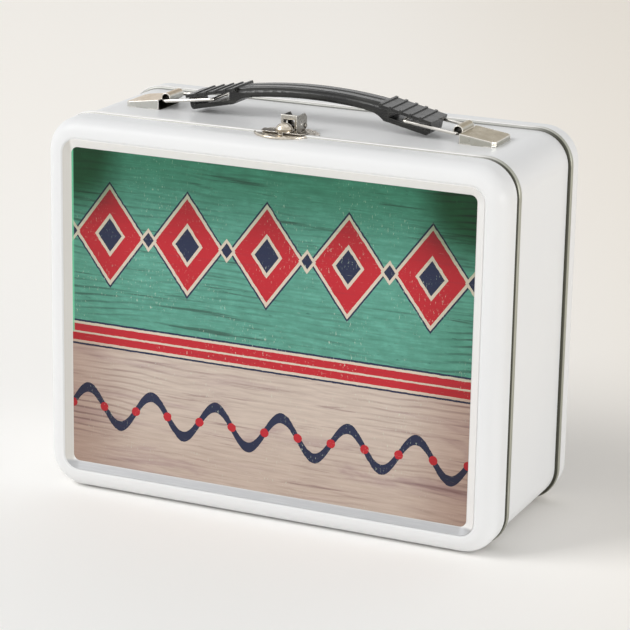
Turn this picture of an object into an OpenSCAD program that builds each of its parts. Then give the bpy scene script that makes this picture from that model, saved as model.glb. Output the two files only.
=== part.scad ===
// Tin lunch box with a hinged front lid, a lift-up latch and a drop handle.
// Millimetres, +Z up. The origin is on the table, under the middle of the box,
// and the lid faces -Y.

/* [Case] */
// Width over the lid and the rear panel
case_w = 224; // [160:1:300]
// Height over the lid and the rear panel
case_h = 177; // [120:1:240]
// Depth of the body band between its two seams
band_d = 68.9; // [50:0.1:120]
// Depth of the lid
lid_d = 14.6; // [12:0.1:30]
// Depth of the rear panel
rear_d = 18; // [15:0.5:30]
// Radius of the case's corners, seen from the front
corner_r = 16.4; // [15:0.2:30]
// Radius that rolls the lid's side into its front
edge_r = 7.8; // [5:0.2:8.4]
// Thickness of the tinplate
sheet_t = 0.6; // [0.4:0.1:0.8]
// How far the band lies inside the lid and the rear panel
band_step = 1; // [0.8:0.1:1.3]

/* [Rims] */
// Outer radius of the rolled beads
bead_r = 1.7; // [1.4:0.1:2]
// Width of the flat along a bead's crest
bead_flat = 0.6; // [0.2:0.1:1]
// How far the beads stand out of the lid and the rear panel
bead_proud = 0.6; // [0.2:0.1:0.8]
// Length of the necks that enter the lid and the band
neck_l = 5; // [3:0.5:8]
// Length of the hem folded back inside the lid's edge
hem_l = 4; // [3:0.5:5]
// Gap between the lid's edge and the bead
rim_gap = 1.6; // [0.4:0.1:2]
// Gap between the band's rear edge and the rear panel's bead
joint_gap = 0.2; // [0.1:0.05:0.4]
// Clearance between the lid's hem and the neck inside it
neck_clear = 0.4; // [0.3:0.1:0.8]

/* [Sunk front] */
// Width of the flat crest round the front
crest_w = 0.6; // [0.4:0.1:1.5]
// Width of the slope from the crest down to the sunk floor
slope_w = 4.6; // [3:0.1:6]
// Depth of the sunk floor below the crest
sink_d = 2.3; // [1:0.1:3]
// Thickness of the picture plate
plate_t = 0.5; // [0.3:0.1:0.8]
// Width of white slope left bare above the picture plate
slope_bare = 0.9; // [0.3:0.1:2]
// Thickness of the printed sheet
print_t = 0.12; // [0.1:0.01:0.2]
// Gap between the printed sheet and the foot of the plate's slope
print_gap = 0.15; // [0.05:0.05:1]

/* [Hinge] */
// Distance of each hinge from the middle of the case
hinge_x = 62; // [30:1:90]
// Width of a hinge leaf and its knuckle
leaf_w = 22; // [12:1:30]
// Length of a hinge leaf in front of the seam
leaf_l = 6; // [5:0.5:8]
// Length of wire held in the bead on each side of a knuckle
wire_hold = 8; // [5:0.5:12]
// Radial play of the hinge wire
wire_clear = 0.05; // [0.02:0.01:0.1]
// Play between a knuckle and the sides of its notch
knuckle_clear = 0.4; // [0.3:0.1:1]

/* [Brackets] */
// Distance of each bracket's open end from the end of the case
bracket_in = 37.5; // [28:0.1:50]
// Length of a bracket's sloping top
bracket_l = 17; // [12:0.1:22]
// Width of a bracket, front to back
bracket_w = 20.8; // [18.6:0.1:30]
// Height of a bracket at its open end
bracket_h = 4.6; // [3.6:0.1:7]
// Height of a bracket at its low end
bracket_low = 2.2; // [1.6:0.1:3]
// Cut across a bracket's two outer corners
bracket_chamfer = 1.6; // [1:0.1:4]
// Thickness of the nickel-plated sheet of the brackets and the latch
hard_t = 0.5; // [0.4:0.1:0.8]
// Outer radius of the tube rolled in a bracket's end
tube_r = 2.3; // [2.2:0.1:2.8]
// Length of that tube
tube_l = 13.6; // [10:0.1:16]
// Height of the tube's axis over the band
tube_z = 5.1; // [4.5:0.1:6]
// Width of the clinched tabs that hold a bracket
tab_w = 6; // [4:0.5:8]

/* [Rings] */
// Radius of the wire of the handle's rings
ring_r = 0.75; // [0.6:0.05:0.9]
// Distance between a ring's two long bars
ring_l = 25.6; // [20:0.1:30]
// Distance between the centres of a ring's two side wires
ring_w = 18.4; // [17:0.1:20]
// Bend radius at the middle of a ring's wire
ring_bend = 1.6; // [1.2:0.1:2]
// Slope of the rings at rest, in degrees
ring_tilt = 7.5; // [6:0.5:9]

/* [Handle] */
// Gap between the handle's end and the bracket's open end
handle_gap = 13.5; // [8:0.1:20]
// Length of each fork end
fork_l = 25.2; // [20:0.1:28]
// Thickness of the grip
grip_t = 4.6; // [4:0.1:7]
// Width of the grip
grip_w = 15.5; // [14:0.1:16]
// How far the grip's top lies under the top of its forks
grip_drop = 0.2; // [0.1:0.1:1]
// Radius of the grip's arch, along its top
arch_r = 228; // [150:1:400]
// How far the heel of the grip reaches under the fork
heel_l = 1.3; // [0.5:0.1:3]
// Radius under the grip where it drops to the heel
fillet_r = 12; // [8:0.5:16]
// Slope of the fork ends, in degrees
fork_tilt = 12.4; // [11:0.1:13]
// Thickness of the upper tongue
upper_t = 1.5; // [1.2:0.1:3]
// Thickness of the lower tongue
lower_t = 2.1; // [1.4:0.1:2.4]
// Height of the slot between the tongues
slot_h = 3.7; // [3.5:0.1:4.2]
// Distance of the slot's inner end from the shoulder
slot_root = 3.6; // [3:0.1:5]
// Web left beyond the slot's outer end
slot_end = 2.6; // [2:0.1:4]
// Width of the upper tongue
upper_w = 19; // [17:0.1:22]
// Width of the lower tongue
lower_w = 15; // [13:0.1:15.4]
// How much the lower tongue is shorter than the upper one
lower_short = 0.8; // [0.2:0.1:3]
// Radius of the lower tongue's rounded end
lower_round = 1.6; // [0.5:0.1:2]
// Width of the web between the tongues
web_w = 14; // [8:0.1:14.8]
// Number of ribs on each upper tongue
rib_count = 5; // [3:1:7]
// Width of a rib
rib_w = 1.1; // [0.8:0.1:2]
// How far a rib stands out of the tongue
rib_proud = 0.5; // [0.3:0.1:1]
// Distance of the outermost rib from the tongue's end
rib_end = 5.4; // [2:0.1:7]

/* [Latch] */
// Radius of the latch's round outline
latch_r = 14.2; // [13:0.1:18]
// Radius of the narrower hood over the bead
hood_r = 10.8; // [9:0.1:12]
// How far the outline's centre lies behind the front seam
latch_back = 5.6; // [5:0.1:8]
// Number of scallops round the rear half of the latch plate
scallop_count = 12; // [8:1:20]
// Radius of a scallop
scallop_r = 2.3; // [1.5:0.1:3]
// Radius of the hole pierced in each scallop
pierce_r = 0.9; // [0.5:0.1:1.2]
// Width of the lever
lever_w = 7.7; // [6.5:0.1:10]
// Height of the lever
lever_h = 7.4; // [6:0.1:10]
// Distance of the lever's front face behind the front seam
lever_back = 8.4; // [7:0.1:11]
// Distance of the pin behind the lever's front face
pin_back = 9.4; // [8:0.1:12]
// Distance from the pin to the lever's lower and rear edges
cheek_r = 1.8; // [1.5:0.1:2.4]
// Cut across the rear top corners of the lever's cheeks
cheek_chamfer = 2; // [1:0.1:3]
// Radius of the padlock hole in the cheeks
lock_r = 0.9; // [0.6:0.1:1.4]
// Radius of the latch pin
pin_r = 0.8; // [0.6:0.05:1]
// Radial play of the lever on its pin
pin_clear = 0.06; // [0.02:0.01:0.1]
// Width of the window between the lever's legs
window_w = 5.6; // [4:0.1:5.9]
// Height of the bar over the window
window_bar = 1.6; // [1.2:0.1:3]
// Gap between the lever and the plate under it
lever_gap = 0.2; // [0.2:0.1:0.6]
// Side and end play of the tongue in the lever
tongue_clear = 0.3; // [0.2:0.1:0.6]
// Radius of the dome on the catch plate's tongue
dome_r = 4.2; // [3.6:0.1:5]
// Height of the dome over the tongue
dome_h = 3.7; // [2.5:0.1:4.2]
// Radius of the small rivets
rivet_r = 0.7; // [0.5:0.1:1]

/* [Hidden] */
$fn = 64;
// Overshoot of a cut past the face that it opens
cut = 1;

// Planes of the two seams, and heights of the lid's top and the band's top
seam_y = lid_d - (lid_d + band_d + rear_d) / 2;
back_y = seam_y + band_d;
lid_top = case_h + bead_proud;
band_top = lid_top - band_step;

// Rolled beads and necks, measured inwards from the case's outline
bead_bore = bead_r - sheet_t;
bead_in = bead_r - bead_proud;
bead_half = bead_r + bead_flat / 2;
bead_y = seam_y + rim_gap + bead_half;
lid_neck_in = 2 * sheet_t + neck_clear;
band_in = band_step + sheet_t;
groove_z = 2 * bead_half - 0.3;

// Sunk front, measured inwards from the case's outline
slope_top = edge_r + crest_w;
slope_foot = slope_top + slope_w;
slope_a = atan(sink_d / slope_w);
floor_in = slope_foot + 0.5;
plate_foot = slope_foot + plate_t * tan(slope_a / 2);
print_in = plate_foot + print_gap;

// Hinge wires and the notches in the bead for the knuckles
wire_r = bead_bore - wire_clear;
notch_w = leaf_w + 2 * knuckle_clear;

// Right bracket, its rolled tube, and the two bars of the right ring
bracket_x = case_w / 2 - bracket_in;
tube_x = bracket_x - tube_r + 0.3;
tube_bore = tube_r - hard_t;
bracket_a = atan((bracket_h - bracket_low) / bracket_l);
ring_play = 0.05;
ring_z = tube_z - tube_bore + ring_r + ring_play;
bar_x = tube_x - ring_l * cos(ring_tilt);
bar_z = ring_z + ring_l * sin(ring_tilt);

// Right fork: height over the band of its slot's middle line, and of a line
// beside it, at distance x from the middle; and distance along the fork from
// the bar. The bar lies a little under the middle of its slot.
bar_under_mid = 0.4;
function fork_mid(x) = bar_z + bar_under_mid - (x - bar_x) * tan(fork_tilt);
function fork_line(x, off) = fork_mid(x) + off / cos(fork_tilt);
function fork_u(x) = (x - bar_x) / cos(fork_tilt);
upper_out = slot_h / 2 + upper_t;
lower_out = slot_h / 2 + lower_t;
handle_half = bracket_x - handle_gap;
shoulder_x = handle_half - fork_l;
slot_x = shoulder_x + slot_root;

// Arch of the grip, and the fillet that leads its underside down to the heel
arch_rise = arch_r - sqrt(arch_r * arch_r - shoulder_x * shoulder_x);
grip_top = fork_line(shoulder_x, upper_out) - grip_drop + arch_rise;
arch_z = grip_top - arch_r;
heel_x = shoulder_x + heel_l;
heel_z = fork_line(heel_x, -lower_out);
fillet_arm = arch_r - grip_t + 0.05 - fillet_r;
heel_arm = norm([heel_x, heel_z - arch_z]);
fillet_a = atan2(heel_x, heel_z - arch_z) - acos(
    (pow(fillet_arm, 2) + pow(heel_arm, 2) - pow(fillet_r, 2)) / (2 * fillet_arm * heel_arm));

// Latch, with heights over the band: the plate lies on the band, its hood spans
// the bead, and the tongue passes over the hood
latch_y = seam_y + latch_back;
latch_front = latch_y - 2 * latch_r;
latch_rear = latch_y + 2 * latch_r;
hood_z = band_step + bead_proud + 0.1;
hood_back = bead_y + bead_half + 0.2;
tongue_z = hood_z + hard_t + 0.1;
lever_y = seam_y + lever_back;
lever_z = hard_t + lever_gap;
pin_y = lever_y + pin_back;
pin_z = lever_z + cheek_r;
lever_in = lever_w / 2 - hard_t;
ear_gap = 0.3;

// ---- Shapes shared by the pressed pieces ----

module rounded_rect(w, h, r) {
    square([w - 2 * r, h], center = true);
    square([w, h - 2 * r], center = true);
    for (x = [-1, 1], y = [-1, 1])
        translate([x * (w / 2 - r), y * (h / 2 - r)]) circle(r);
}

// Sweeps a section round the case's outline. The section's x runs inwards from
// the outline and its y becomes height.
module sweep_round_case() {
    for (side = [0, 1]) {
        w = side == 0 ? case_w : case_h;
        h = side == 0 ? case_h : case_w;
        for (turn = [0, 180]) rotate(side * 90 + turn) {
            translate([w / 2, 0, 0]) rotate([90, 0, 0])
                linear_extrude(height = h - 2 * corner_r, center = true)
                    mirror([1, 0]) children();
            translate([w / 2 - corner_r, h / 2 - corner_r, 0])
                rotate_extrude(angle = 90)
                    translate([corner_r, 0]) mirror([1, 0]) children();
        }
    }
}

// Stand a cover that lies on its rim up, with its outside to the front or back
module face_front(y) {
    translate([0, y, lid_top - case_h / 2]) rotate([90, 0, 0]) children();
}

module face_back(y) {
    translate([0, y, lid_top - case_h / 2]) rotate([-90, 0, 0]) children();
}

// Skirt from height start, rolled edge, crest and slope to the sunk floor
module cover_section(depth, start = 0) {
    floor_z = depth - sink_d;
    bend = sheet_t * tan(slope_a / 2);
    translate([0, start]) square([sheet_t, depth - edge_r - start]);
    translate([edge_r, depth - edge_r]) intersection() {
        difference() {
            circle(edge_r);
            circle(edge_r - sheet_t);
        }
        translate([-edge_r, 0]) square(edge_r);
    }
    polygon([
        [edge_r, depth], [slope_top, depth], [slope_foot, floor_z], [floor_in, floor_z],
        [floor_in, floor_z - sheet_t], [slope_foot - bend, floor_z - sheet_t],
        [slope_top - bend, depth - sheet_t], [edge_r, depth - sheet_t]
    ]);
}

module sunk_floor(depth) {
    translate([0, 0, depth - sink_d - sheet_t]) linear_extrude(height = sheet_t)
        rounded_rect(case_w - 2 * floor_in, case_h - 2 * floor_in, corner_r - floor_in);
}

// Hollow bead below height 0, with a neck that rises through it to neck_l
module bead_section(neck_in) {
    difference() {
        union() {
            for (end = [-1, 1])
                translate([bead_in, end * bead_flat / 2 - bead_half]) circle(bead_r);
            translate([bead_in, -bead_half]) square([2 * bead_r, bead_flat], center = true);
            translate([neck_in, -bead_half]) square([sheet_t, bead_half + neck_l]);
        }
        bead_hole();
    }
}

module bead_hole() {
    translate([bead_in, -bead_half]) circle(bead_bore);
}

// ---- Case ----

// The strip that wraps the box: neck, bead and plain wall
module body_band() {
    color("white") difference() {
        face_front(seam_y + rim_gap) sweep_round_case() {
            bead_section(lid_neck_in);
            difference() {
                translate([band_step, rim_gap - band_d])
                    square([sheet_t, band_d - rim_gap - bead_half]);
                bead_hole();
            }
        }
        for (side = [-1, 1]) {
            hinge_notch(side);
            for (face = [-1, 1]) tab_slot(side, face);
        }
        latch_rivet_places() cylinder(r = rivet_r, h = 4 * sheet_t, center = true);
    }
}

// Window in the bead for one knuckle
module hinge_notch(side) {
    reach = bead_half + knuckle_clear;
    translate([side * hinge_x - notch_w / 2, bead_y - reach, -cut])
        cube([notch_w, 2 * reach, 2 * bead_r + cut + knuckle_clear]);
}

// Slot in the top of the band for one bracket tab
module tab_slot(side, face) {
    play = 0.1;
    translate([
        side * (bracket_x + bracket_l / 2), face * (bracket_w - hard_t) / 2, band_top - sheet_t / 2
    ]) cube([tab_w + 2 * play, hard_t + 2 * play, sheet_t + 2 * cut], center = true);
}

// Back cover, pressed like the lid, with its own bead and a neck in the band
module rear_panel() {
    depth = rear_d - joint_gap;
    color("white") face_back(back_y + joint_gap) {
        sweep_round_case() {
            mirror([0, 1]) bead_section(band_in);
            translate([0, groove_z]) square([bead_in, sheet_t]);
            cover_section(depth, groove_z);
        }
        sunk_floor(depth);
    }
}

module lid_shell() {
    color("white") difference() {
        face_front(seam_y) {
            sweep_round_case() {
                cover_section(lid_d);
                translate([sheet_t, 0]) square([sheet_t, hem_l]);
            }
            sunk_floor(lid_d);
        }
        for (side = [-1, 1]) hem_gap(side);
        catch_rivet_places() cylinder(r = rivet_r, h = 4 * sheet_t, center = true);
    }
}

// Gap in the lid's hem where a hinge leaf lies against the skirt
module hem_gap(side) {
    translate([side * hinge_x - notch_w / 2, seam_y - hem_l - cut, bead_proud + sheet_t])
        cube([notch_w, hem_l + 2 * cut, sheet_t + neck_clear / 2]);
}

// Aluminium tray in the sunk front; its slope laps up the lid's slope
module picture_plate() {
    floor_z = lid_d - sink_d;
    lap_in = slope_top + slope_bare;
    lap_z = lid_d - slope_bare * tan(slope_a);
    color("silver") face_front(seam_y) {
        sweep_round_case() polygon([
            [lap_in, lap_z], [slope_foot, floor_z], [floor_in, floor_z],
            [floor_in, floor_z + plate_t], [plate_foot, floor_z + plate_t],
            [lap_in + plate_t * sin(slope_a), lap_z + plate_t * cos(slope_a)]
        ]);
        translate([0, 0, floor_z]) linear_extrude(height = plate_t)
            rounded_rect(case_w - 2 * floor_in, case_h - 2 * floor_in, corner_r - floor_in);
    }
}

module picture_print() {
    color("teal") face_front(seam_y)
        translate([0, 0, lid_d - sink_d + plate_t]) linear_extrude(height = print_t)
            rounded_rect(case_w - 2 * print_in, case_h - 2 * print_in, corner_r - print_in);
}

// ---- Hinge ----

// Strip welded inside the lid's lower skirt, rolled into a knuckle
module hinge_leaf(side) {
    color("silver") translate([side * hinge_x, bead_y, 0]) difference() {
        union() {
            translate([0, 0, bead_r]) rotate([0, 90, 0])
                cylinder(r = bead_r, h = leaf_w, center = true);
            translate([-leaf_w / 2, seam_y - leaf_l - bead_y, bead_proud + sheet_t])
                cube([leaf_w, bead_y - seam_y + leaf_l - bead_bore, sheet_t]);
        }
        translate([0, 0, bead_r]) rotate([0, 90, 0])
            cylinder(r = bead_bore, h = leaf_w + 2 * cut, center = true);
    }
}

// Wire held in the hollow bead on both sides of a knuckle
module hinge_wire(side) {
    color("gray") translate([side * hinge_x, bead_y, bead_r]) rotate([0, 90, 0])
        cylinder(r = wire_r, h = notch_w + 2 * wire_hold, center = true);
}

// ---- Handle ----

// Solid wedge of a right bracket; an inset one hollows it
module bracket_wedge(inset) {
    x0 = bracket_x - (inset > 0 ? cut : 0);
    x1 = bracket_x + bracket_l - inset;
    z0 = inset > 0 ? -cut : 0;
    half = bracket_w / 2 - inset;
    corner = bracket_chamfer - inset * tan(22.5);
    function top(x) = bracket_h - (x - bracket_x) * tan(bracket_a) - inset / cos(bracket_a);
    intersection() {
        rotate([90, 0, 0]) linear_extrude(height = 2 * half, center = true)
            polygon([[x0, z0], [x1, z0], [x1, top(x1)], [x0, top(x0)]]);
        translate([0, 0, -cut]) linear_extrude(height = bracket_h + 3 * cut) polygon([
            [x0, -half], [x1 - corner, -half], [x1, corner - half],
            [x1, half - corner], [x1 - corner, half], [x0, half]
        ]);
    }
}

// Wedge-shaped sheet with a rolled tube, held by two clinched tabs
module bracket() {
    tab_x = bracket_x + (bracket_l - tab_w) / 2;
    foot_l = 4;
    color("silver") translate([0, 0, band_top]) {
        difference() {
            union() {
                difference() {
                    bracket_wedge(0);
                    bracket_wedge(hard_t);
                }
                translate([tube_x, 0, tube_z]) rotate([90, 0, 0])
                    cylinder(r = tube_r, h = tube_l, center = true);
            }
            translate([tube_x, 0, tube_z]) rotate([90, 0, 0])
                cylinder(r = tube_bore, h = tube_l + 2 * cut, center = true);
        }
        for (face = [0, 1]) mirror([0, face, 0]) {
            translate([tab_x, bracket_w / 2 - hard_t, -sheet_t - hard_t])
                cube([tab_w, hard_t, sheet_t + 2 * hard_t]);
            translate([tab_x, bracket_w / 2 - foot_l, -sheet_t - hard_t])
                cube([tab_w, foot_l, hard_t]);
        }
    }
}

// Closed loop of wire. Its outer bar turns in the bracket's tube and its inner
// bar slides in the handle's slot.
module ring() {
    side_l = ring_l - 2 * ring_bend;
    bar_l = ring_w - 2 * ring_bend;
    color("silver") translate([tube_x, 0, band_top + ring_z]) rotate([0, ring_tilt, 0])
        translate([-ring_l / 2, 0, 0]) {
            for (turn = [0, 180]) rotate(turn) {
                translate([ring_l / 2, 0, 0]) rotate([90, 0, 0])
                    cylinder(r = ring_r, h = bar_l, center = true);
                translate([0, ring_w / 2, 0]) rotate([0, 90, 0])
                    cylinder(r = ring_r, h = side_l, center = true);
                translate([ring_l / 2 - ring_bend, ring_w / 2 - ring_bend, 0])
                    rotate_extrude(angle = 90) translate([ring_bend, 0]) circle(ring_r);
                translate([-ring_l / 2 + ring_bend, ring_w / 2 - ring_bend, 0])
                    rotate(90) rotate_extrude(angle = 90) translate([ring_bend, 0]) circle(ring_r);
            }
        }
}

// Extrudes a side view along Y
module side_view(w) {
    rotate([90, 0, 0]) linear_extrude(height = w, center = true) children();
}

// Block that drops from the grip to the lower tongue, with a filleted underside
module shoulder() {
    fillet_x = fillet_arm * sin(fillet_a);
    fillet_z = arch_z + fillet_arm * cos(fillet_a);
    inside_z = arch_z + (arch_r - grip_t / 2) * cos(fillet_a);
    side_view(grip_w) difference() {
        polygon([
            [fillet_x, heel_z], [heel_x, heel_z], [slot_x, fork_line(slot_x, -lower_out)],
            [slot_x, fork_line(slot_x, upper_out)], [shoulder_x, fork_line(shoulder_x, upper_out)],
            [shoulder_x, fork_line(shoulder_x, 0)], [fillet_x, inside_z]
        ]);
        translate([fillet_x, fillet_z]) circle(fillet_r);
    }
}

// Two tongues joined by a web outside the slot, with ribs over the upper tongue
module fork() {
    tip = fork_u(handle_half) - upper_out * tan(fork_tilt);
    upper_root = fork_u(shoulder_x) - upper_out * tan(fork_tilt);
    lower_root = fork_u(heel_x) + lower_out * tan(fork_tilt) + 0.3;
    lower_tip = tip - lower_short;
    web_tip = tip - 0.4;
    rib_0 = upper_root + rib_w / 2;
    rib_pitch = (tip - rib_end - rib_0) / (rib_count - 1);
    translate([bar_x, 0, fork_mid(bar_x)]) rotate([0, fork_tilt, 0]) {
        translate([upper_root, -upper_w / 2, slot_h / 2])
            cube([tip - upper_root, upper_w, upper_t]);
        side_view(lower_w) difference() {
            translate([lower_root, -lower_out]) square([lower_tip - lower_root, lower_t]);
            translate([lower_tip - lower_round, lower_round - lower_out]) difference() {
                translate([0, -2 * lower_round]) square(2 * lower_round);
                circle(lower_round);
            }
        }
        side_view(web_w) translate([tip - slot_end, -slot_h / 2 - upper_t / 2])
            square([web_tip - tip + slot_end, slot_h + upper_t]);
        for (i = [0 : rib_count - 1])
            translate([rib_0 + i * rib_pitch, 0, slot_h / 2 + (upper_t + rib_proud) / 2])
                rotate([0, 90, 0]) linear_extrude(height = rib_w, center = true)
                    rounded_rect(upper_t + rib_proud, upper_w + 2 * rib_proud, rib_proud);
    }
}

// Arched bar with a stepped, rounded section
module grip_bar() {
    half_a = asin((shoulder_x + 1) / arch_r);
    crown_w = grip_w - 3;
    translate([0, 0, arch_z]) rotate([90, 0, 0]) rotate(90 - half_a)
        rotate_extrude(angle = 2 * half_a, $fn = 360) {
            translate([arch_r - grip_t / 2 - grip_t / 8, 0])
                rounded_rect(grip_t * 3 / 4, grip_w, grip_t / 4);
            translate([arch_r - grip_t / 2, 0]) rounded_rect(grip_t, crown_w, grip_t / 4);
        }
}

module handle_grip() {
    color("#222222") translate([0, 0, band_top]) {
        grip_bar();
        for (side = [0, 1]) mirror([side, 0, 0]) {
            shoulder();
            fork();
        }
    }
}

// ---- Latch ----

// Round outline with scallops, shrunk by inset
module latch_outline(inset = 0) {
    circle(latch_r - inset);
    for (i = [0 : scallop_count - 1])
        rotate(180 * (i + 0.5) / scallop_count)
            translate([latch_r - 0.6 * scallop_r, 0]) circle(scallop_r - inset);
}

module latch_rivet_places() {
    for (side = [-1, 1])
        translate([side * latch_r * 0.6, latch_y + latch_r * 0.3, band_top - sheet_t / 2])
            children();
}

module catch_rivet_places() {
    for (side = [-1, 1])
        translate([side * latch_r * 0.3, seam_y - hem_l - 2 * rivet_r, lid_top - sheet_t / 2])
            children();
}

// Box over the whole latch between two depths and two heights over the band
module latch_block(y0, y1, z0, z1) {
    translate([-2 * latch_r, y0, z0]) cube([4 * latch_r, y1 - y0, z1 - z0]);
}

// Scalloped plate on the band, stepped up into a hood over the bead, with two ears
module latch_plate() {
    hood_top = hood_z + hard_t;
    color("silver") translate([0, 0, band_top]) {
        difference() {
            translate([0, latch_y, 0]) {
                linear_extrude(height = hard_t) latch_outline();
                cylinder(r = hood_r, h = hood_top);
            }
            latch_block(latch_front, seam_y + 0.3, -cut, 2 * hood_top);
            latch_block(latch_front, hood_back, -cut, hood_z);
            latch_block(hood_back + hard_t, latch_rear, hard_t, 2 * hood_top);
            translate([0, latch_y, 0]) for (i = [0 : scallop_count - 1])
                rotate(180 * (i + 0.5) / scallop_count)
                    translate([latch_r - 0.6 * scallop_r, 0])
                        cylinder(r = pierce_r, h = 4 * hard_t, center = true);
            translate([0, 0, -band_top]) latch_rivet_places()
                cylinder(r = rivet_r, h = latch_r, center = true);
        }
        for (side = [-1, 1]) ear(side);
    }
}

// Upright ear that carries one end of the pin
module ear(side) {
    ear_r = cheek_r - 0.2;
    translate([side * (lever_in - ear_gap - hard_t / 2), pin_y, pin_z]) rotate([90, 0, 90])
        difference() {
            linear_extrude(height = hard_t, center = true) {
                circle(ear_r);
                translate([-ear_r, -pin_z]) square([2 * ear_r, pin_z]);
            }
            cylinder(r = pin_r, h = 2 * cut, center = true);
        }
}

// U-shaped lever: front with a window between two legs, and two cheeks
module latch_lever() {
    lip_r = 0.5;
    top = lever_h - cheek_r;
    color("silver") translate([0, pin_y, band_top + pin_z]) difference() {
        union() {
            rotate([90, 0, 90]) linear_extrude(height = lever_w, center = true) {
                circle(cheek_r);
                polygon([
                    [-pin_back, -cheek_r], [0, -cheek_r], [cheek_r, 0],
                    [cheek_r, top - cheek_chamfer], [cheek_r - cheek_chamfer, top],
                    [-pin_back, top]
                ]);
            }
            translate([0, lip_r - pin_back, top]) rotate([0, 90, 0])
                cylinder(r = lip_r, h = lever_w, center = true);
        }
        translate([-lever_in, hard_t - pin_back, -lever_h])
            cube([2 * lever_in, 3 * lever_h, 3 * lever_h]);
        translate([-window_w / 2, -pin_back - cut, -lever_h])
            cube([window_w, 2 * cut, lever_h + top - window_bar]);
        for (hole = [[0, 0, pin_r + pin_clear], [-lever_h * 0.55, lever_h * 0.22, lock_r]])
            translate([0, hole[0], hole[1]]) rotate([0, 90, 0])
                cylinder(r = hole[2], h = lever_w + 2 * cut, center = true);
    }
}

// Pin with two low heads outside the cheeks
module latch_pin() {
    head_gap = 0.15;
    color("gray") translate([0, pin_y, band_top + pin_z]) rotate([0, 90, 0]) {
        cylinder(r = pin_r, h = lever_w + 2 * head_gap, center = true);
        for (side = [0, 1]) mirror([0, 0, side]) translate([0, 0, lever_w / 2 + head_gap])
            cylinder(r1 = pin_r + 0.4, r2 = pin_r, h = 0.4);
    }
}

// Rivet with a domed head on top and a flat tail under the sheet, at its middle
module rivet(head_z) {
    head_r = 1.8 * rivet_r;
    tail_h = 0.4;
    translate([0, 0, -sheet_t / 2 - tail_h]) {
        cylinder(r = 1.5 * rivet_r, h = tail_h);
        cylinder(r = rivet_r, h = head_z + sheet_t / 2 + tail_h);
    }
    translate([0, 0, head_z]) intersection() {
        translate([0, 0, -head_r * 0.75]) sphere(head_r * 1.25);
        cylinder(r = head_r, h = head_r);
    }
}

module latch_rivets() {
    color("gray") latch_rivet_places() rivet(hard_t + sheet_t / 2);
}

module catch_rivets() {
    color("gray") catch_rivet_places() rivet(hard_t + sheet_t / 2);
}

// Smooth half plate on the lid, with a domed tongue that reaches into the lever
module catch_plate() {
    dome_y = lever_y - 0.5 - dome_r;
    dome_ball = (dome_r * dome_r + dome_h * dome_h) / (2 * dome_h);
    head_half = lever_in - tongue_clear;
    neck_w = window_w - 2 * tongue_clear;
    head_y = lever_y + hard_t + tongue_clear;
    head_l = 1.6;
    edge = 0.5;
    color("silver") translate([0, 0, band_top]) {
        difference() {
            union() {
                translate([0, latch_y, band_step]) {
                    cylinder(r = latch_r, h = hard_t);
                    rotate_extrude() translate([latch_r - edge, hard_t]) circle(edge);
                }
                translate([0, dome_y, band_step]) cylinder(r = dome_r, h = tongue_z - band_step);
            }
            latch_block(seam_y - 0.3, latch_rear, 0, latch_r);
            latch_block(latch_front, latch_rear, 0, band_step);
            translate([0, 0, -band_top]) catch_rivet_places()
                cylinder(r = rivet_r, h = latch_r, center = true);
        }
        translate([0, dome_y, tongue_z]) intersection() {
            translate([0, 0, dome_h - dome_ball]) sphere(dome_ball);
            cylinder(r = dome_r, h = dome_h);
        }
        translate([-neck_w / 2, dome_y, tongue_z])
            cube([neck_w, head_y + head_l - dome_y, hard_t]);
        translate([-head_half, head_y, tongue_z]) cube([2 * head_half, head_l, 1.6]);
    }
}

body_band();
rear_panel();
lid_shell();
picture_plate();
picture_print();
hinge_leaf(-1);  // hinge_leaf_left
hinge_leaf(1);  // hinge_leaf_right
hinge_wire(-1);  // hinge_wire_left
hinge_wire(1);  // hinge_wire_right
mirror([1, 0, 0]) bracket();  // bracket_left
bracket();  // bracket_right
mirror([1, 0, 0]) ring();  // ring_left
ring();  // ring_right
handle_grip();
latch_plate();
latch_lever();
latch_pin();
latch_rivets();
catch_plate();
catch_rivets();
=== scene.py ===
import math

import bpy
from mathutils import Matrix, Vector


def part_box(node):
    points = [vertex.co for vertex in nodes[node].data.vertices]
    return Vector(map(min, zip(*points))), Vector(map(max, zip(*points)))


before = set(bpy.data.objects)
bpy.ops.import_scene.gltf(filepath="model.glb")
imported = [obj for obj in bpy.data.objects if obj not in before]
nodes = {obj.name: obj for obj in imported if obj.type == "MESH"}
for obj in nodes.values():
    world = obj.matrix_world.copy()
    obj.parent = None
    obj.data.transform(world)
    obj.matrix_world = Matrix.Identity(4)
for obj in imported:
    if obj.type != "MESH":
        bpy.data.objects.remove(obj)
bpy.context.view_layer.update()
bpy.ops.object.select_all(action="DESELECT")


# ---- Camera and table -------------------------------------------------------
# The box stands on a wide sheet of off-white paper. A long lens looks down on
# its front from 24 degrees round to the right and 16 degrees above level.

PIXELS = 630
camera_data = bpy.data.cameras.new("camera")
camera_data.lens = 151.2
camera_data.shift_x = -0.5 / PIXELS
camera_data.shift_y = 0.5 / PIXELS
camera = bpy.data.objects.new("camera", camera_data)
camera.matrix_world = (
    Matrix.Translation((0.4834, -1.07504, 0.43059))
    @ Matrix.Rotation(math.radians(24.109), 4, "Z")
    @ Matrix.Rotation(math.radians(90 - 16.336), 4, "X")
    @ Matrix.Rotation(math.radians(1.04), 4, "Z")
)
bpy.context.scene.collection.objects.link(camera)
bpy.context.scene.camera = camera
bpy.context.scene.view_settings.view_transform = "Standard"


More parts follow.
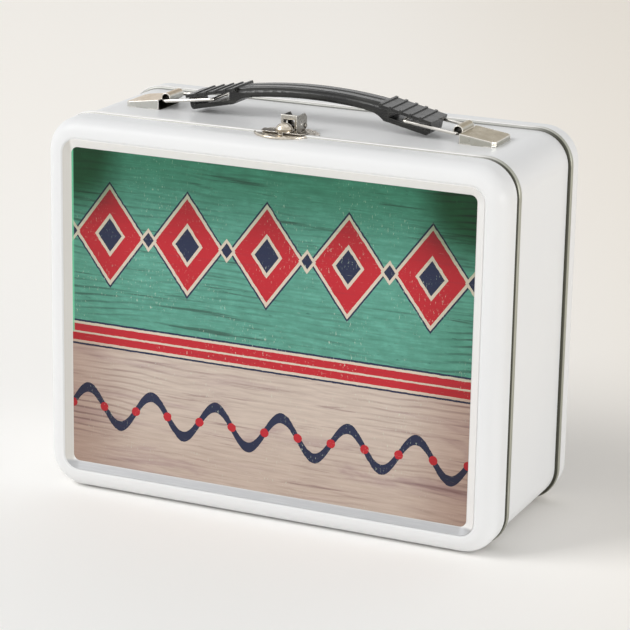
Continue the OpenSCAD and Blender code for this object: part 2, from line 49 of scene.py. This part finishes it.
class Wire:
    """An output socket that is added, multiplied and compared like a number."""

    def __init__(self, maker, socket):
        self.maker = maker
        self.socket = socket

    def math(self, operation, *values):
        return self.maker.node("ShaderNodeMath", {"operation": operation}, dict(enumerate(values)))

    def __add__(self, other):
        return self.math("ADD", self, other)

    def __sub__(self, other):
        return self.math("SUBTRACT", self, other)

    def __rsub__(self, other):
        return self.math("SUBTRACT", other, self)

    def __mul__(self, other):
        return self.math("MULTIPLY", self, other)

    def __truediv__(self, other):
        return self.math("DIVIDE", self, other)

    def __pow__(self, other):
        return self.math("POWER", self, other)

    def __mod__(self, other):
        return self.math("FLOORED_MODULO", self, other)

    def __gt__(self, other):
        return self.math("GREATER_THAN", self, other)

    def __lt__(self, other):
        return self.math("LESS_THAN", self, other)

    def __abs__(self):
        return self.math("ABSOLUTE", self)

    def sin(self):
        return self.math("SINE", self)

    __radd__ = __add__


class Wiring:
    """Adds nodes to one node tree and hands back their outputs as wires."""

    def __init__(self, tree):
        self.tree = tree

    def node(self, kind, settings=None, sockets=None, out=0):
        made = self.tree.nodes.new(kind)
        for name, value in (settings or {}).items():
            setattr(made, name, value)
        for name, value in (sockets or {}).items():
            self.feed(made.inputs[name], value)
        return Wire(self, made.outputs[out])

    def feed(self, socket, value):
        if isinstance(value, Wire):
            self.tree.links.new(value.socket, socket)
        else:
            socket.default_value = value

    def split(self, vector):
        made = self.node("ShaderNodeSeparateXYZ", sockets={0: vector}).socket.node
        return [Wire(self, socket) for socket in made.outputs]

    def stretch(self, vector, by):
        return self.node("ShaderNodeVectorMath", {"operation": "MULTIPLY"}, {0: vector, 1: by})

    def mix(self, first, second, mask, mode="MIX"):
        first = (*first, 1) if isinstance(first, tuple) else first
        second = (*second, 1) if isinstance(second, tuple) else second
        settings = {"data_type": "RGBA", "blend_type": mode}
        return self.node("ShaderNodeMix", settings, {0: mask, 6: first, 7: second}, out=2)

    def ease(self, value, low, high, to_low=0.0, to_high=1.0):
        settings = {"interpolation_type": "SMOOTHSTEP"}
        sockets = {0: value, 1: low, 2: high, 3: to_low, 4: to_high}
        return self.node("ShaderNodeMapRange", settings, sockets)


class Finish(Wiring):
    """One surface finish: a material, and the wires of its place on the object."""

    def __init__(self, name, base=(0.8, 0.8, 0.8), roughness=0.5, metallic=0.0, coat=0.0):
        self.material = bpy.data.materials.new(name)
        self.material.use_nodes = True
        super().__init__(self.material.node_tree)
        self.shader = self.tree.nodes["Principled BSDF"]
        self.set("Base Color", (*base, 1))
        self.set("Roughness", roughness)
        self.set("Metallic", metallic)
        self.set("Coat Weight", coat)
        self.place = self.node("ShaderNodeTexCoord", out="Object")
        self.x, self.y, self.z = self.split(self.place)

    def set(self, name, value):
        self.feed(self.shader.inputs[name], value)

    def noise(self, per_metre, detail=3, rough=0.5, warp=0.0):
        """Noise from 0 to 1; per_metre is a number, or one for each direction."""
        vector = self.place
        if isinstance(per_metre, tuple):
            vector, per_metre = self.stretch(vector, per_metre), 1
        sockets = {"Vector": vector, "Scale": per_metre, "Detail": detail}
        sockets.update({"Roughness": rough, "Distortion": warp})
        return self.node("ShaderNodeTexNoise", sockets=sockets)

    def rounded(self, radius):
        return self.node("ShaderNodeBevel", {"samples": 6}, {"Radius": radius})

    def edges(self, radius, low=0.01, high=0.16):
        """1 along sharp edges and 0 on the flats, within a radius in metres."""
        true = self.node("ShaderNodeNewGeometry", out="Normal")
        sockets = {0: self.rounded(radius), 1: true}
        match = self.node("ShaderNodeVectorMath", {"operation": "DOT_PRODUCT"}, sockets, "Value")
        return self.ease(1 - match, low, high)

    def crevices(self, reach, low, high):
        """1 in corners and recesses that are narrower than the reach in metres."""
        shade = self.node("ShaderNodeAmbientOcclusion", {"samples": 8}, {"Distance": reach}, "AO")
        return self.ease(shade, low, high, 1, 0)

    def bump(self, height, strength, depth, radius=None):
        sockets = {"Height": height, "Strength": strength, "Distance": depth}
        if radius:
            sockets["Normal"] = self.rounded(radius)
        self.set("Normal", self.node("ShaderNodeBump", sockets=sockets, out="Normal"))

    def paint(self, *objects):
        for obj in objects:
            obj.data.materials.clear()
            obj.data.materials.append(self.material)


bpy.ops.mesh.primitive_plane_add(size=14, location=(0, 2, 0))
bpy.ops.object.transform_apply(location=True)
table = bpy.context.object
table.name = "table_sheet"
paper = Finish("off_white_paper", roughness=0.9)
# Painted shade: the sheet is darker and warmer towards the back and the right
far_painted_shade = paper.ease(paper.y - paper.x * 0.4, -0.35, 1.0)
right_painted_shade = paper.ease(paper.x * 0.91 + paper.y * 0.41, 0.0, 0.30)
tone = paper.mix((0.975, 0.968, 0.952), (0.985, 0.95, 0.895), far_painted_shade)
paper.set("Base Color", paper.mix(tone, (0.92, 0.865, 0.785), right_painted_shade))
paper.set("Specular IOR Level", 0.1)
paper.bump(paper.noise(900), 0.02, 0.0005)
paper.paint(table)

# A white tent that lights mostly from a ring halfway up its walls. Gloss shows
# bright walls, and one dark gap below the roof at the rear.
world = bpy.data.worlds.new("studio")
bpy.context.scene.world = world
world.use_nodes = True
tent = Wiring(world.node_tree)
side, depth, height = tent.split(tent.node("ShaderNodeTexCoord"))
gap = tent.ease(height, 0.42, 0.52) * tent.ease(height, 0.64, 0.76, 1, 0)
gap = gap * tent.ease(depth, 0.1, 0.4) * tent.ease(abs(side), 0.35, 0.6, 1, 0)
seen = tent.node("ShaderNodeLightPath", out="Is Glossy Ray")
seen = seen + tent.node("ShaderNodeLightPath", out="Is Camera Ray")
wall = 0.96 + tent.ease(height, 0.75, 0.95) * 0.2 - gap * 0.75
ring = tent.ease(height, 0.12, 0.32) * tent.ease(height, 0.66, 0.86, 1, 0)
ring = ring * (0.60 + depth * depth * 1.1 - tent.ease(side, 0.1, 0.8) * 0.35)
glow = (0.21 + ring * 0.78) * (1 - seen) + wall * seen
tent.feed(world.node_tree.nodes["Background"].inputs["Color"], glow)


BOX_MIDDLE = Vector((0, 0, 0.09))


def soft_box(name, place, size, watts):
    lamp = bpy.data.lights.new(name, "AREA")
    lamp.shape = "RECTANGLE"
    lamp.size, lamp.size_y = size
    lamp.energy = watts
    stand = bpy.data.objects.new(name, lamp)
    stand.location = place
    aim = BOX_MIDDLE - Vector(place)
    stand.rotation_euler = aim.to_track_quat("-Z", "Y").to_euler()
    bpy.context.scene.collection.objects.link(stand)


soft_box("left_softbox", (-3.8, -2.8, 3.8), (3.2, 3.2), 195)
soft_box("right_fill", (3.2, -0.8, 0.35), (1.6, 0.6), 42)


# ---- Body band --------------------------------------------------------------
# A strip of tinplate bent round the box. It is enamelled white all over but for
# its rolled front bead, which is left bare. The bare bead carries painted light:
# a painted highlight along its level runs, painted shade on the right-hand
# upright, and painted shadow lines along its edges.

ENAMEL = (0.775, 0.778, 0.777)
ENAMEL_SHADE = (0.762, 0.767, 0.771)
BEAD_PAINTED_HIGHLIGHT = (0.90, 0.895, 0.88)
BEAD_PAINTED_SHADE = (0.37, 0.37, 0.31)
BEAD_PAINTED_SHADOW = (0.07, 0.07, 0.055)
DUST = (0.66, 0.64, 0.61)
FRONT_BEAD = (-0.0347, -0.0304)
BRACKET_X, BRACKET_HALF_L, BRACKET_HALF_W = 0.0825, 0.0088, 0.0098
DECK_Z = 0.17


def enamel(name, bead=None):
    """White enamel, with bare tin between the two y places of a bead, painted with highlight,
    shade and shadow lines.
    """
    paint = Finish(name, ENAMEL, 0.34, coat=0.04)
    paint.set("Coat Roughness", 0.08)
    paint.set("Specular IOR Level", 0.22)
    colour = paint.mix(ENAMEL, ENAMEL_SHADE, paint.ease(paint.noise(9, 2), 0.35, 0.7))
    dust = paint.ease(paint.noise(1800, 1), 0.72, 0.80)
    colour = paint.mix(colour, DUST, dust * 0.12)
    gloss = paint.ease(paint.noise(60, 4), 0.3, 0.8, 0.32, 0.40)
    if bead:
        low, high = bead
        middle = (low + high) / 2
        across = (paint.y - middle) / (high - middle)
        bare = abs(across) < 1
        # Painted light on the bare bead: bright on the level runs with dark painted shadow lines
        # at both edges, and on the right-hand upright painted shade with a black front edge and a
        # lighter painted highlight towards the rear edge
        upright = paint.ease(paint.x, 0.088, 0.108)
        drawn = paint.ease(paint.noise((90, 2600, 90), 4, 0.6), 0.3, 0.75)
        level_painted_light = paint.mix(BEAD_PAINTED_HIGHLIGHT, (0.82, 0.81, 0.79), drawn)
        painted_shadow_lines = paint.ease(across, -0.72, -0.60, 1, 0) + paint.ease(across, 0.58, 0.72)
        level_painted_light = paint.mix(level_painted_light, (0.20, 0.20, 0.18), painted_shadow_lines * 0.85)
        upright_painted_shade = paint.mix(BEAD_PAINTED_SHADE, (0.46, 0.46, 0.40), drawn)
        upright_painted_shade = paint.mix(upright_painted_shade, BEAD_PAINTED_SHADOW, paint.ease(across, -0.75, -0.50, 1, 0))
        upright_painted_shade = paint.mix(upright_painted_shade, (0.70, 0.70, 0.66), paint.ease(across, 0.20, 0.60))
        colour = paint.mix(colour, paint.mix(level_painted_light, upright_painted_shade, upright), bare)
        gloss = gloss + bare * 0.06
        paint.set("Metallic", bare * 0.85)
    paint.colour = colour
    paint.set("Base Color", colour)
    paint.set("Roughness", gloss)
    paint.bump(paint.noise(110, 0), 0.01, 0.0003)
    return paint


band = enamel("band_enamel", FRONT_BEAD)
# Painted shade: the deck is painted near black where the hollow brackets cover it
bracket_painted_shade = (abs(abs(band.x) - BRACKET_X) < BRACKET_HALF_L) * (abs(band.y) < BRACKET_HALF_W)
bracket_painted_shade = bracket_painted_shade * (band.z > DECK_Z)
band.set("Base Color", band.mix(band.colour, (0.035, 0.034, 0.024), bracket_painted_shade))
band.paint(nodes["body_band"])


# ---- Rear panel -------------------------------------------------------------
# Pressed from one sheet like the lid. Its own bare bead closes the seam with
# the band.

REAR_BEAD = (0.0329, 0.0370)
enamel("rear_enamel", REAR_BEAD).paint(nodes["rear_panel"])


# ---- Lid --------------------------------------------------------------------
# A shallow pressing with a rolled front edge and a sunk field, enamelled white.

enamel("lid_enamel").paint(nodes["lid_shell"])


# ---- Picture tray -----------------------------------------------------------
# Thin aluminium sheet glued into the sunk field. Its brushed rim stays bare,
# with painted reflection making it lighter above and at the right, and painted shade below and at
# the left.

tray = Finish("brushed_aluminium", roughness=0.34, metallic=0.25)
low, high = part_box("picture_print")
SOFT = 0.0008
below_painted_shade = tray.ease(tray.z, low.z - SOFT, low.z + SOFT, 1, 0)
left = tray.ease(tray.x, low.x - SOFT, low.x + SOFT, 1, 0)
right = tray.ease(tray.x, high.x - SOFT, high.x + SOFT)
flat = tray.noise((60, 60, 2600), 3, 0.6)
upright = tray.noise((2600, 60, 60), 3, 0.6)
brush = upright * (left + right) + flat * (1 - left - right)
# Painted reflection and shade: each side of the rim gets its own tone
rim_painted_reflection = tray.mix((0.85, 0.835, 0.81), (0.62, 0.60, 0.56), left)
rim_painted_reflection = tray.mix(rim_painted_reflection, (0.80, 0.79, 0.775), right)
rim_painted_reflection = tray.mix(rim_painted_reflection, (0.40, 0.405, 0.415), below_painted_shade)
rim_painted_reflection = tray.mix(rim_painted_reflection, (0.72, 0.72, 0.71), tray.ease(brush, 0.45, 0.8) * 0.2)
tray.set("Base Color", rim_painted_reflection)
tray.set("Roughness", tray.ease(brush, 0.2, 0.8, 0.28, 0.42))
tray.bump(brush, 0.04, 0.0002)
tray.paint(nodes["picture_plate"])


# ---- Printed panel ----------------------------------------------------------
# A printed film on the tray: green-painted boards over pale bare boards, with
# a striped belt between them, red lozenges above and a navy wave below.

film = Finish("printed_boards", roughness=0.42)
film.set("Specular IOR Level", 0.25)
width, tall = high.x - low.x, high.z - low.z
rough_edge = (film.noise(500, 2) - 0.5) * 0.003
u = film.x / width + rough_edge
v = (film.z - low.z) / tall + rough_edge
outward = film.ease(abs(film.x), 0.055, 0.105)
BELT_V, ROW_V, WAVE_V = 0.42, 0.74, 0.19
ROW_HALF_V, WAVE_SWING_V = 0.17, 0.055
GRAIN_SPACING = 0.0031
LOZENGES, WAVES = 5, 6

# Wood grain: long dark lines that bend a little, in uneven patches
bend = film.noise((9, 1, 16), 2, 0.5) * 0.020 + film.noise((30, 1, 60), 2) * 0.0025
lines = film.ease(((film.z + bend) * (2 * math.pi / GRAIN_SPACING)).sin(), 0.25, 0.95)
patches = film.ease(film.noise((11, 1, 34), 3, 0.6), 0.42, 0.66)
lines = lines * patches * (0.35 + outward * 0.65)
grain = film.ease(film.noise((16, 1, 420), 5, 0.65, warp=0.4), 0.56, 0.70)
fibre = film.ease(film.noise((60, 1, 900), 4, 0.6), 0.3, 0.7)
stain = film.ease(film.noise((14, 1, 90), 5, 0.65, warp=0.8), 0.50, 0.72)
pits = film.ease(film.noise((160, 1, 900), 3, 0.6), 0.64, 0.72)

green = film.mix((0.088, 0.290, 0.215), (0.130, 0.380, 0.295), fibre)
mottle = film.ease(film.noise((150, 1, 260), 4, 0.65), 0.35, 0.68)
green = film.mix((0.075, 0.235, 0.175), green, 0.45 + mottle * 0.55)
green = film.mix(green, (0.020, 0.100, 0.068), grain * 0.75)
green = film.mix(green, (0.008, 0.045, 0.034), lines * 0.88)
green = film.mix(green, (0.013, 0.060, 0.050), pits * 0.55)
pale = film.mix((0.50, 0.410, 0.350), (0.585, 0.490, 0.420), fibre)
pale = film.mix(pale, (0.33, 0.220, 0.235), stain * 0.62)
pale = film.mix(pale, (0.23, 0.135, 0.135), grain * 0.50)
pale = film.mix(pale, (0.17, 0.095, 0.085), lines * 0.62)
above = v > BELT_V
picture = film.mix(pale, green, above)

NAVY = (0.020, 0.026, 0.062)
RED = (0.47, 0.020, 0.030)
CREAM = (0.62, 0.53, 0.43)
belt = abs(v - BELT_V)
for half, ink in ((0.040, NAVY), (0.034, CREAM), (0.026, RED), (0.003, CREAM)):
    picture = film.mix(picture, ink, belt < half)

# Lozenges: distance from the middle of each cell, as a share of its half size
large_u = abs((u * LOZENGES + 0.5) % 1 - 0.5) * 2
small_u = abs((u * LOZENGES) % 1 - 0.5) * 2
rise = abs(v - ROW_V) / ROW_HALF_V
large = large_u * 1.02 + rise
small = small_u * 1.02 + rise
for shape, reach, ink in (
    (large, 0.98, NAVY), (large, 0.93, CREAM), (large, 0.84, RED), (large, 0.40, CREAM),
    (large, 0.31, NAVY), (small, 0.22, CREAM), (small, 0.14, NAVY),
):
    picture = film.mix(picture, ink, shape < reach)

wave = abs(v - WAVE_V - (u * (2 * WAVES * math.pi)).sin() * WAVE_SWING_V)
picture = film.mix(picture, NAVY, wave < 0.016)
dot_count = 2 * WAVES
dot_u = abs((u * dot_count + 0.5) % 1 - 0.5) * (width / tall / dot_count)
dot_v = abs(v - WAVE_V)
dots = (dot_u * dot_u + dot_v * dot_v) ** 0.5
picture = film.mix(picture, RED, dots < 0.014)

# Age: grain shows through the inks, light scratches, and darkened margins
picture = film.mix(picture, (0.10, 0.03, 0.05), (grain + lines) * 0.16)
flecks = film.ease(film.noise((1300, 1, 420), 3, 0.7), 0.60, 0.70)
flecks = flecks * film.ease(film.noise(50, 2), 0.42, 0.60)
dashes = film.ease(film.noise((160, 1, 1500), 4, 0.7), 0.62, 0.72)
picture = film.mix(picture, (0.60, 0.68, 0.56), flecks * 0.70)
picture = film.mix(picture, (0.60, 0.58, 0.52), dashes * 0.25)
top = film.ease(v, 0.70, 1.0)
foot = film.ease(v, 0.0, 0.34, 1, 0)
sides = film.ease(abs(u), 0.30, 0.50)
picture = film.mix(picture, (0.20, 0.41, 0.29), top * 0.84, "MULTIPLY")
picture = film.mix(picture, (0.60, 0.68, 0.60), sides * above * 0.55, "MULTIPLY")
corner = film.ease(top * sides, 0.02, 0.75)
picture = film.mix(picture, (0.07, 0.27, 0.13), corner, "MULTIPLY")
picture = film.mix(picture, (0.62, 0.50, 0.46), sides * (1 - above) * 0.75, "MULTIPLY")
picture = film.mix(picture, (0.78, 0.70, 0.66), foot * 0.5, "MULTIPLY")
bright_edge = film.ease(film.x, low.x + 0.0006, low.x + 0.0012, 1, 0) * above
film.set("Base Color", film.mix(picture, (0.16, 0.56, 0.33), bright_edge * 0.8))
film.set("Roughness", film.ease(film.noise(300, 3), 0.3, 0.7, 0.38, 0.50))
film.bump(film.noise(1200, 2), 0.03, 0.0002)
film.paint(nodes["picture_print"])


# ---- Hinges -----------------------------------------------------------------
# Two rolled leaves, spot-welded inside the lid, turn on bare wires in the bead.

steel = Finish("bare_steel", roughness=0.35, metallic=1.0)
rub = steel.noise((60, 900, 900), 4)
tone = steel.mix((0.42, 0.41, 0.39), (0.66, 0.65, 0.62), steel.ease(rub, 0.3, 0.7))
steel.set("Base Color", steel.mix(tone, (0.80, 0.79, 0.76), steel.edges(0.0003) * 0.6))
steel.set("Roughness", steel.ease(rub, 0.2, 0.8, 0.28, 0.5))
steel.bump(rub, 0.05, 0.0002, 0.0002)
for side in ("left", "right"):
    steel.paint(nodes["hinge_leaf_" + side], nodes["hinge_wire_" + side])


# ---- Brackets ---------------------------------------------------------------
# Each is one nickel-plated blank: folded to a low wedge, its open end rolled
# to a tube, and its tabs clinched inside the band. Painted reflection gives beige
# tops and grey-green walls, and the right one is painted darker than the left.

TUBE_X, TUBE_Z, TUBE_BORE = 0.0725, 0.1817, 0.0019
nickel = Finish("dull_nickel", roughness=0.34, metallic=1.0)
facing = nickel.split(nickel.node("ShaderNodeTexCoord", out="Normal"))
upward_painted_reflection = nickel.ease(facing[2], 0.35, 0.8)
cloud = nickel.noise(260, 5, 0.6)
brushed = nickel.noise((1600, 80, 500), 3, 0.6)
# Painted reflection: tops and walls get their own tones, darker on the right bracket
flat = nickel.mix((0.62, 0.50, 0.36), (0.44, 0.375, 0.26), nickel.x > 0)
walls_painted_reflection = nickel.mix((0.60, 0.60, 0.56), (0.50, 0.49, 0.43), nickel.x > 0)
tone = nickel.mix(walls_painted_reflection, flat, upward_painted_reflection)
tone = nickel.mix(tone, (0.34, 0.30, 0.24), nickel.ease(cloud, 0.50, 0.75) * 0.30)
tone = nickel.mix(tone, (0.70, 0.66, 0.58), nickel.ease(brushed, 0.55, 0.80) * 0.20)
# Painted highlight along the edges
tone = nickel.mix(tone, (0.97, 0.93, 0.87), nickel.edges(0.0010, 0.004, 0.09) * 0.85)
# Painted shade: recesses and the tube bore are painted near black
bore_x, bore_z = abs(nickel.x) - TUBE_X, nickel.z - TUBE_Z
bore = (bore_x * bore_x + bore_z * bore_z) < TUBE_BORE ** 2
hidden_painted_shade = nickel.ease(nickel.crevices(0.004, 0.15, 0.60) + bore, 0, 1)
nickel.set("Base Color", nickel.mix(tone, (0.040, 0.032, 0.020), hidden_painted_shade * 0.92))
nickel.set("Roughness", nickel.ease(cloud, 0.3, 0.7, 0.26, 0.42))
nickel.bump(cloud, 0.04, 0.0002, 0.0004)
nickel.paint(nodes["bracket_left"], nodes["bracket_right"])


# ---- Rings ------------------------------------------------------------------
# Closed loops of nickel-plated wire.

wire = Finish("plated_wire", roughness=0.18, metallic=1.0)
drawn = wire.noise((60, 2000, 2000), 3)
tone = wire.mix((0.58, 0.55, 0.50), (0.82, 0.80, 0.76), wire.ease(drawn, 0.3, 0.7))
wire.set("Base Color", tone)
wire.set("Roughness", wire.ease(drawn, 0.2, 0.8, 0.14, 0.28))
wire.bump(drawn, 0.03, 0.0001)
wire.paint(nodes["ring_left"], nodes["ring_right"])


# ---- Handle -----------------------------------------------------------------
# Black moulded plastic: an arched grip with a step along each side, and a
# ribbed fork at each end that slides on the inner bar of its ring.

FLUTE_SPACING = 0.0062
plastic = Finish("black_plastic", roughness=0.3)
plastic.set("Specular IOR Level", 0.45)
mould = plastic.noise(2600, 3)
sweep = plastic.noise((60, 700, 700), 3)
forks = plastic.ease(abs(plastic.x), 0.030, 0.036)
tone = plastic.mix((0.010, 0.010, 0.010), (0.024, 0.024, 0.021), plastic.ease(sweep, 0.3, 0.7))
# Painted highlight along the edges of the forks
tone = plastic.mix(tone, (0.13, 0.13, 0.125), plastic.edges(0.0005, 0.02, 0.2) * forks * 0.6)
# Painted shade in recesses and slots
tone = plastic.mix(tone, (0.004, 0.004, 0.004), plastic.crevices(0.003, 0.15, 0.6) * 0.9)
plastic.set("Base Color", tone)
plastic.set("Roughness", plastic.ease(sweep, 0.3, 0.7, 0.20, 0.30))
# Shallow flutes run along the grip, between the forks
flutes = (plastic.y * (2 * math.pi / FLUTE_SPACING)).sin() * (1 - forks)
plastic.bump(flutes + mould * 0.006, 0.7, 0.0006)
plastic.paint(nodes["handle_grip"])


# ---- Latch ------------------------------------------------------------------
# Nickel-plated pressings, riveted to the band and to the lid. The U-shaped
# lever turns on a pin between two ears.


def plated(name, bright, dull, recess_shade, roughness):
    """Worn nickel, patchily dull and bright, with painted shade in recesses."""
    plate = Finish(name, roughness=roughness, metallic=1.0)
    wear = plate.noise(900, 4, 0.6)
    plate.tone = plate.mix(dull, bright, plate.ease(wear, 0.35, 0.65))
    plate.tone = plate.mix(plate.tone, recess_shade, plate.crevices(0.0022, 0.20, 0.80) * 0.9)
    plate.set("Roughness", plate.ease(wear, 0.3, 0.7, roughness + 0.08, roughness))
    plate.bump(wear, 0.03, 0.0001, 0.0002)
    return plate


# Painted shade: inside the lever, and on the plate below it, the metal is painted black
LEVER_HALF_W, LEVER_FRONT, LEVER_REAR = 0.0034, -0.0272, -0.0170
BLACK_PAINTED_SHADE = (0.016, 0.013, 0.009)
EDGE_PAINTED_HIGHLIGHT = (0.95, 0.92, 0.86)
LATCH_Y, PLATE_TOP = -0.0264, 0.1800

ornate = plated(
    "latch_nickel", (0.68, 0.63, 0.55), (0.50, 0.44, 0.35), (0.050, 0.032, 0.014), 0.18
)
out_y = ornate.y - LATCH_Y
from_middle = (ornate.x * ornate.x + out_y * out_y) ** 0.5
# Painted shade: a dark brown ring on the plates round the lever, where the wings' openwork lies
ring_painted_shade = ornate.ease(from_middle, 0.0062, 0.0074) * ornate.ease(from_middle, 0.0126, 0.0136, 1, 0)
tone = ornate.mix(ornate.tone, (0.17, 0.125, 0.070), ring_painted_shade * (ornate.z < PLATE_TOP) * 0.75)
# Painted highlight along the edges
tone = ornate.mix(tone, EDGE_PAINTED_HIGHLIGHT, ornate.edges(0.0005, 0.01, 0.12) * 0.9)
below_lever_painted_shade = (abs(ornate.x) < LEVER_HALF_W) * (ornate.y > LEVER_FRONT)
below_lever_painted_shade = below_lever_painted_shade * (ornate.y < LEVER_REAR)
ornate.set("Base Color", ornate.mix(tone, BLACK_PAINTED_SHADE, below_lever_painted_shade * 0.95))
ornate.paint(nodes["latch_plate"], nodes["catch_plate"])
ornate.paint(nodes["latch_rivets"], nodes["catch_rivets"])

smooth = plated(
    "lever_nickel", (0.44, 0.425, 0.39), (0.38, 0.36, 0.32), (0.020, 0.016, 0.010), 0.24
)
# Painted highlight along the edges
tone = smooth.mix(smooth.tone, (0.95, 0.93, 0.88), smooth.edges(0.0005, 0.01, 0.12) * 0.9)
lever_inside_painted_shade = (abs(smooth.x) < LEVER_HALF_W) * (smooth.y > LEVER_FRONT)
smooth.set("Base Color", smooth.mix(tone, BLACK_PAINTED_SHADE, lever_inside_painted_shade * 0.97))
smooth.paint(nodes["latch_lever"])

pin = plated("pin_steel", (0.34, 0.32, 0.28), (0.24, 0.22, 0.19), (0.020, 0.016, 0.010), 0.3)
pin.set("Base Color", pin.tone)
pin.paint(nodes["latch_pin"])
